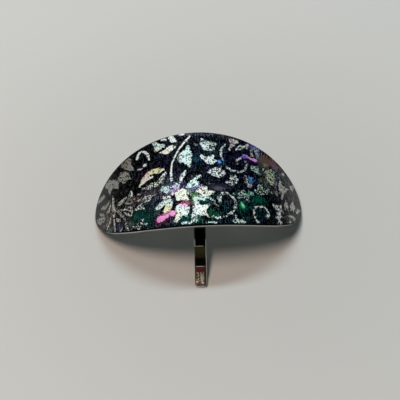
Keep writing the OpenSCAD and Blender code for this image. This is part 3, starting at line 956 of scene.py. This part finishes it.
def print_leather(mesh):
    """Keeps at each vertex its depth in the foil, the wear, and the tones of foil and grain,
    painted sheen included.
    """
    blank = np.zeros(len(mesh.vertices) * 3, np.float32)
    mesh.attributes["blank"].data.foreach_get("vector", blank)
    points = blank.reshape(-1, 3)[:, :2].astype(float)
    # A shape counts up to this many mm outside its edge, and bare grain has a middling wear.
    margin = 1.2
    bare_wear = 0.4
    depth = np.full(len(points), -margin)
    wear = np.full(len(points), bare_wear)
    foil = np.tile(paint(*SILVER), (len(points), 1))
    shapes = [(leaf_depth, *row) for row in leaves] + [(stem_depth, *row) for row in stems]
    for measure, colour, worn, outline in shapes:
        low = np.min([p[:2] for p in outline], axis=0) - margin
        high = np.max([p[:2] for p in outline], axis=0) + margin
        near = np.flatnonzero(((points > low) & (points < high)).all(axis=1))
        found = measure(outline, points[near])
        deeper = found > depth[near]
        won = near[deeper]
        depth[won] = found[deeper]
        wear[won] = worn
        foil[won] = paint(*colour)
    foil = tone(points, foil, foil_and_glint_tones)
    grain = np.tile(paint(8, 12, 22), (len(points), 1))
    grain = tone(points, grain, dye_and_sheen_tones)
    # The last channel keeps how far painted sheen covers the grain and smooths it.
    grain[:, 3] = 0
    grain = tone(points, grain, painted_sheen_tones)
    for name, kind, key, values in (
        ("foil_depth", "FLOAT", "value", depth),
        ("foil_wear", "FLOAT", "value", wear),
        ("foil_and_glint_tone", "FLOAT_COLOR", "color", foil),
        ("grain_and_sheen_tone", "FLOAT_COLOR", "color", grain),
    ):
        attribute = mesh.attributes.new(name, kind, "POINT")
        attribute.data.foreach_set(key, np.ascontiguousarray(values, np.float32).ravel())


foiled_leather, tree, surface = shader("foiled_leather")
blank = kept(tree, "blank", "Vector")
foil_depth = kept(tree, "foil_depth")
foil_wear = kept(tree, "foil_wear")
foil_and_glint_tone = kept(tree, "foil_and_glint_tone", "Color")
grain_and_sheen_tone = kept(tree, "grain_and_sheen_tone", "Color")
sheen_cover = grain_and_sheen_tone.other_output("Alpha")
u, _, depth = axes(tree, blank)
from_crown = u.math("ABSOLUTE")
dull = ramp(tree, from_crown, 22.0, 26.0)
end_wear = ramp(tree, from_crown, 27.0, 38.0)
cut_edge = ramp(tree, depth, 0.06, 0.14)
dashes = noise(tree, stretched(tree, blank, (2.5, 1.7, 1.0)), 1.0)
pores = noise(tree, stretched(tree, blank, (3.2, 2.4, 1.0)), 1.0, 1.0)
threads = noise(tree, stretched(tree, blank, (3.2, 0.4, 1.0)), 1.0, 1.0)
ragged = noise(tree, blank, 1.5, 3.0)
lustre = noise(tree, blank, 0.5, 2.0)


def cells(stretch):
    """Small facets of the crinkled surface, each with three random values from 0 to 1."""
    values = {"Vector": stretched(tree, blank, stretch), "Scale": 1.0}
    return node(tree, "ShaderNodeTexVoronoi", None, values, "Color")


grain_cells = cells((3.0, 2.2, 1.0))
grain_facets, _, _ = axes(tree, grain_cells)
foil_facets, _, _ = axes(tree, cells((1.9, 1.6, 1.0)))
# The print's edge wanders a little, and its foil is gone where dashes of the grain stand out.
edge_wander = (ragged - 0.5) * 1.2 + (pores - 0.5) * 0.4 + (grain_facets - 0.5) * 0.2
pressed = ramp(tree, foil_depth + edge_wander, -0.06, 0.08)
bare = ramp(tree, dashes + foil_wear * 0.3, 0.665, 0.69)
mask = pressed * (1 - bare) * (1 - cut_edge)
# The foil's lustre shifts between a warm and a cool white.
warm_share = ramp(tree, lustre, 0.52, 0.66) * (0.16 - dull * 0.1)
warm_foil = blend(tree, warm_share, foil_and_glint_tone, paint(255, 236, 222))
cool_share = ramp(tree, 1 - lustre, 0.52, 0.66) * (0.45 - dull * 0.35)
shifting_foil = blend(tree, cool_share, warm_foil, paint(214, 246, 238))
# Cracks between the foil's facets, more of them where it is worn.
fresh = 1 - ramp(tree, foil_wear, 0.0, 0.05)
crack = pores * 0.5 + foil_facets * 0.4 + 0.05 - foil_wear * 0.34 + fresh * 0.3
foil_light = 0.02 + ramp(tree, crack, 0.29, 0.35) * 1.05
lit_foil = vector_math(tree, "SCALE", {0: shifting_foil, "Scale": foil_light})
# The dyed grain is lighter along its threads, painted as glints. Where painted sheen covers it,
# it is even and silky.
glints = ramp(tree, threads * 0.5 + pores * 0.25 + grain_facets * 0.25, 0.555, 0.61)
silky = ramp(tree, sheen_cover, 0.82, 0.95)
loose_grain = glints * 5.6 * (1 - sheen_cover) + sheen_cover * (0.42 + glints * 1.1)
bright_grain = loose_grain * (1 - silky) + silky * (0.85 + pores * 0.3)
# Each facet of the grain has a tint of its own, which the painted sheen hides.
tint_values = {0: grain_cells, 1: (0.9, 0.9, 0.9), 2: (0.55, 0.55, 0.55)}
grain_tints = vector_math(tree, "MULTIPLY_ADD", tint_values)
tinted_grain = vector_math(tree, "MULTIPLY", {0: grain_and_sheen_tone, 1: grain_tints})
tinted_grain = blend(tree, sheen_cover, tinted_grain, grain_and_sheen_tone)
lit_grain = vector_math(tree, "SCALE", {0: tinted_grain, "Scale": bright_grain})
dust = ramp(tree, pores + (dashes - 0.5) * 0.7, 0.68, 0.76) * (1 - sheen_cover) * 0.4
dusty_grain = blend(tree, dust, lit_grain, paint(104, 116, 132))
dusty_grain = blend(tree, cut_edge, dusty_grain, paint(24, 23, 24))
relief = dashes + pores * 0.6 + threads * 0.5 + pressed * 0.4
feed(
    surface,
    {
        "Base Color": blend(tree, mask, dusty_grain, lit_foil),
        "Metallic": mask * 0.35,
        "Roughness": 0.66 - mask * 0.33,
        "Normal": bump(tree, relief, 0.00018, 0.7),
        "Specular IOR Level": 0.0,
        "Coat Weight": (glints * 0.3 + dust * 0.4 + end_wear * 0.8) * (1 - mask) * (1 - cut_edge),
        "Coat Roughness": 0.34,
    },
)

leather_sizes = plate_sizes | {
    "Top depth": 0.0,
    "Thickness": leather_gauge,
    "Edge radius": 0.14 * MM,
    "Crowding": 0.05,
    "Columns": 480,
    "Rows": 160,
}
tree = bent_oval_tree("leather_face", leather_sizes, foiled_leather)
leather = made_piece("leather_face", tree, leather_sizes)
print_leather(leather.data)
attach(leather, "root")
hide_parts("cover")

# Hook
# The real piece is one length of flat strip with rolled edges, plated dark nickel. Its flat foot
# is fixed under the crown; it loops back on itself, and its free leg slopes down to a rounded tip.
strip_width = 4.0 * MM
strip_gauge = 0.8 * MM
foot_length = 10.0 * MM
foot_back = 5.5 * MM
slot_height = 4.6 * MM
tip_run = 2.3 * MM
tip_corner = 0.9 * MM
leg_slope = 37
hook_turn = math.radians(-1.5)
step_turn = 3
fewest_steps = 3
# Under the arch, the foot's two edges come closest to the plate.
foot_top = bend_axis_z + math.sqrt(under_plate**2 - (strip_width / 2) ** 2)
foot_z = foot_top - glue_film - strip_gauge / 2
loop_radius = (slot_height + strip_gauge) / 2


def strip_middle(level_run, steep_run):
    """Places along the middle of the strip, and its heading at the tip."""
    # Each row is a straight run, and the radius and the turn in degrees of the bend that ends it.
    bends = [
        (foot_length, loop_radius, -180),
        (level_run, 5 * MM, leg_slope),
        (steep_run, 4 * MM, -5),
        (6.6 * MM, 4 * MM, -2),
        (3.3 * MM, 5 * MM, -12),
    ]
    y, z, heading = foot_back - foot_length, foot_z, 0.0
    places = [(y, z)]
    for run, radius, turn in bends:
        y += run * math.cos(heading)
        z += run * math.sin(heading)
        radius = math.copysign(radius, turn)
        centre_y = y - radius * math.sin(heading)
        centre_z = z + radius * math.cos(heading)
        steps = max(fewest_steps, round(abs(turn) / step_turn))
        for step in range(steps + 1):
            angle = heading + math.radians(turn) * step / steps
            y = centre_y + radius * math.sin(angle)
            z = centre_z - radius * math.cos(angle)
            places.append((y, z))
        heading += math.radians(turn)
    places.append((y + tip_run * math.cos(heading), z + tip_run * math.sin(heading)))
    return places, heading


short, heading = strip_middle(0, 0)
tip_z = -strip_gauge / 2 * math.cos(heading)
tip_y = -(blank_width / 2 + tip_reach) - strip_gauge / 2 * math.sin(heading)
steep_run = (short[-1][1] - tip_z) / math.sin(math.radians(leg_slope))
level_run = short[-1][0] - steep_run * math.cos(math.radians(leg_slope)) - tip_y
places, heading = strip_middle(level_run, steep_run)
# The end of a run is also the start of its bend, and is listed once.
places = [p for i, p in enumerate(places) if i == 0 or math.dist(p, places[i - 1]) > weld_gap]

dark_nickel, tree, surface = shader("dark_nickel")
place = node(tree, "ShaderNodeTexCoord", output="Object")
from_tip = kept(tree, "from_tip")
across = kept(tree, "across")
flat_part = 1 - ramp(tree, across.math("ABSOLUTE"), 1.5, 1.75)
cloudy = noise(tree, place, 260.0, 3.0)
speckled = noise(tree, place, 2100.0, 2.0)


def band(low, high, soft, ragged):
    """1 where the leg is between two distances from the tip in mm, with soft or ragged ends."""
    distance = from_tip + (speckled - 0.5) * ragged
    past_low = ramp(tree, distance, low - soft, low + soft)
    return past_low * (1 - ramp(tree, distance, high - soft, high + soft))


# Painted highlights: pale lines along the upper left edge, at the two creases, and round the right
# and the tip
upper_edge_highlight = band(13.5, 15.9, 0.2, 0.4) * ramp(tree, across * -1, 1.5, 1.75)
crease_highlights = band(6.65, 6.95, 0.08, 0.1) + band(13.4, 13.7, 0.08, 0.1)
crease_highlights = crease_highlights * ramp(tree, cloudy, 0.42, 0.5) * flat_part
right_rim = ramp(tree, across, 1.66, 1.84) * band(-1, 15.9, 0.2, 0.5)
rim_highlight = (right_rim + 1 - ramp(tree, from_tip, 0.12, 0.3)).at_most(1.0)
pale = (crease_highlights + upper_edge_highlight + rim_highlight).at_most(1.0)
# Painted reflections: an olive stretch, then a red-brown one, and on it a pale, speckled and partly
# grey-green patch that a clean line splits along the leg
olive_reflection = band(9.6, 13.3, 0.15, 0.6) * (0.5 + ramp(tree, from_tip, 9.6, 12.4) * 0.5)
red_brown_reflection = band(0.5, 6.6, 0.12, 0.8) * flat_part
pale_reflection_inner = 1 - ramp(tree, (across + 0.3).math("ABSOLUTE") + (speckled - 0.5) * 0.8, 1.2, 1.4)
pale_reflection = band(0.8, 4.9, 0.1, 1.0) * pale_reflection_inner
beside_line = 1 - (1 - ramp(tree, (across + 0.45).math("ABSOLUTE"), 0.1, 0.25)) * 0.8
bright_bits = pale_reflection * ramp(tree, speckled, 0.51, 0.57)
dull = (red_brown_reflection + pale_reflection).at_most(1.0)
grey_green_reflection = pale_reflection * band(2.2, 4.2, 0.2, 0.6) * ramp(tree, across, -0.3, -0.1)
plating = blend(tree, olive_reflection, paint(84, 84, 82), paint(116, 122, 80))
plating = blend(tree, red_brown_reflection, plating, paint(78, 25, 20))
plating = blend(tree, pale_reflection * beside_line, plating, paint(70, 62, 52))
plating = blend(tree, grey_green_reflection, plating, paint(122, 150, 128))
plating = blend(tree, bright_bits * beside_line, plating, paint(196, 190, 174))
plating = blend(tree, (upper_edge_highlight + crease_highlights).at_most(1.0), plating, paint(236, 232, 224))
plating = blend(tree, rim_highlight, plating, paint(230, 238, 230))
feed(
    surface,
    {
        "Base Color": plating,
        "Metallic": (1 - olive_reflection * 0.25 - dull * 0.6 - pale * 0.6).at_least(0.2),
        "Roughness": 0.12 + cloudy * 0.06 + dull * 0.25,
        "Normal": bump(tree, speckled * (pale_reflection + 0.05), 0.00004, 0.5),
    },
)


def swept_strip_tree(name, sizes, material):
    """A strip with rolled edges and rounded ends, which follows the middle line given to it."""
    tree, size = geometry_tree(name, sizes)
    path = node(tree, "GeometryNodeMeshToCurve", None, {"Mesh": size["Geometry"]})
    path_length = node(tree, "GeometryNodeCurveLength", None, {"Curve": path})
    cap_steps = 5
    side_rows = 15
    face_row_inset = 0.2
    quarter = math.pi / 2
    strip, column_share, row_share = unit_grid(tree, size["Columns"] + 1, 2 * side_rows + 1)
    column = (column_share * size["Columns"]).math("ROUND")
    row = (row_share * (2 * side_rows)).math("ROUND").math("MODULO", 2.0 * side_rows)

    # The first and last columns close the ends, and the next few round them off.
    start_turn = ((column - 1) / cap_steps).at_least(0.0).at_most(1.0) * quarter
    end_turn = ((size["Columns"] - 1 - column) / cap_steps).at_least(0.0).at_most(1.0) * quarter
    middle_share = (column - 1 - cap_steps) / (size["Columns"] - 2 - 2 * cap_steps)
    middle_share = middle_share.at_least(0.0).at_most(1.0)
    station = size["End radius"] * (1 - start_turn.math("COSINE") + end_turn.math("COSINE"))
    station = station + (path_length - size["End radius"] * 2) * middle_share
    inset = size["End radius"] * (2 - start_turn.math("SINE") - end_turn.math("SINE"))
    open_part = (column > 0.5) * (size["Columns"] - column > 0.5)

    # The tip's corners are quarter circles, seen from above.
    corner = size["Tip corner"]
    past_corner = (corner - path_length + station).at_least(0.0)
    corner_left = (corner * corner - past_corner * past_corner).at_least(0.0).math("SQRT")
    half_width = size["Width"] / 2 - corner + corner_left

    # Each side of the section has a row on either face, set in from the edge by a share of the
    # flat part, and its other rows go round the edge.
    side = 1 - (row > side_rows - 0.5) * 2
    step = row.math("MODULO", float(side_rows))
    flat_point = (0.5 - step > 0.0) + (step > side_rows - 1.5)
    edge_turn = ((step - 1) / (side_rows - 3)).at_least(0.0).at_most(1.0) * math.pi - quarter
    half_gauge = size["Gauge"] / 2
    rolled = half_gauge - inset
    flat_width = (half_width - half_gauge) * (1 - flat_point * face_row_inset)
    across = side * open_part * (flat_width + rolled * edge_turn.math("COSINE"))
    up = side * open_part * rolled * edge_turn.math("SINE")

    values = {"Curves": path, "Length": station}
    sample = node(tree, "GeometryNodeSampleCurve", {"mode": "LENGTH"}, values, "Position")
    sideways = vector(tree, size["Turn"].math("COSINE"), size["Turn"].math("SINE"))
    ahead = sample.other_output("Tangent")
    upwards = vector_math(tree, "CROSS_PRODUCT", {0: sideways, 1: ahead})
    aside = vector_math(tree, "SCALE", {0: sideways, "Scale": across})
    above = vector_math(tree, "SCALE", {0: upwards, "Scale": up})
    offset = vector_math(tree, "ADD", {0: aside, 1: above})
    spot = vector_math(tree, "ADD", {0: sample, 1: offset})
    strip = keep(tree, strip, "from_tip", "FLOAT", (path_length - station) * to_mm)
    strip = keep(tree, strip, "across", "FLOAT", across * to_mm)
    strip = node(tree, "GeometryNodeSetPosition", None, {"Geometry": strip, "Position": spot})
    finish_tree(tree, welded(tree, strip), material)
    return tree


middle_line = bpy.data.meshes.new("strip_middle")
cosine = math.cos(hook_turn)
sine = math.sin(hook_turn)
points = [(-y * sine, y * cosine + plate_middle_y, z) for y, z in places]
middle_line.from_pydata(points, [(i, i + 1) for i in range(len(points) - 1)], [])
hook_sizes = {
    "Width": strip_width,
    "Gauge": strip_gauge,
    "Tip corner": tip_corner,
    "End radius": 0.2 * MM,
    "Turn": hook_turn,
    "Columns": 260,
}
tree = swept_strip_tree("strip_hook", hook_sizes, dark_nickel)
hook = made_piece("strip_hook", tree, hook_sizes, middle_line)
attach(hook, "root")
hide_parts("hook")

# Setting
# A plain pale table top under two soft studio lights, a broad warm one in front and a long cool
# one behind, in a dim room that is darkest above the front.
table_paint, tree, surface = shader("table_paint")
spot = node(tree, "ShaderNodeTexCoord", output="Object")
away = vector_math(tree, "LENGTH", {0: spot}, "Value")
# The table top is painted darker round the clip and paler away from it, a painted shade.
far = ramp(tree, away, 20 * MM, 140 * MM) * 0.85 + noise(tree, spot, 8.0, 2.0) * 0.15
feed(
    surface,
    {
        "Base Color": blend(tree, far, paint(218, 217, 213), paint(237, 236, 232)),
        "Roughness": 0.6,
        "Normal": bump(tree, noise(tree, spot, 1500.0, 2.0), 0.00002, 0.1),
    },
)
table_top = bpy.data.meshes.new("table_top")
corners = [(-2, -2, 0), (2, -2, 0), (2, 2, 0), (-2, 2, 0)]
table_top.from_pydata(corners, [], [(0, 1, 2, 3)])
table_top.materials.append(table_paint)
table = added("table_top", table_top)

clip_middle = Vector((0, plate_middle_y, 10 * MM))
for name, direction, distance, size, watts, colour in (
    ("front_light", (-0.345, -0.065, 1.0), 1.0, (0.47, 0.29), 4.58, (1.0, 0.812, 0.718)),
    ("back_light", (-0.026, 0.545, 1.0), 1.2, (1.03, 0.143), 5.45, (0.729, 0.916, 1.0)),
):
    lamp = bpy.data.lights.new(name, "AREA")
    lamp.shape = "ELLIPSE"
    lamp.size, lamp.size_y = size
    lamp.energy = watts
    lamp.color = colour
    light = added(name, lamp)
    outwards = Vector(direction).normalized()
    light.location = clip_middle + outwards * distance
    light.rotation_euler = outwards.to_track_quat("Z", "Y").to_euler()

room = bpy.data.worlds.new("room")
room.use_nodes = True
tree = room.node_tree
direction = node(tree, "ShaderNodeTexCoord", output="Generated")
dark_side = (0.0, -0.64, 0.77)
towards_dark = vector_math(tree, "DOT_PRODUCT", {0: direction, 1: dark_side}, "Value")
darkness = ramp(tree, towards_dark, 0.72, 0.9) * 0.97
room_light = 0.102
room_values = {"Color": (0.73, 0.99, 1.0, 1.0), "Strength": room_light * (1 - darkness)}
feed(tree.nodes["Background"], room_values)

camera_data = bpy.data.cameras.new("camera")
camera_data.lens = 90
camera_data.sensor_width = 36
camera = added("camera", camera_data)
camera.location = (-12.0 * MM, -209.7 * MM, 276.0 * MM)
aim = Vector((0.9 * MM, 11.6 * MM, 0))
camera.rotation_euler = (camera.location - aim).to_track_quat("Z", "Y").to_euler()

scene = bpy.context.scene
scene.world = room
scene.camera = camera
scene.view_settings.view_transform = "Standard"
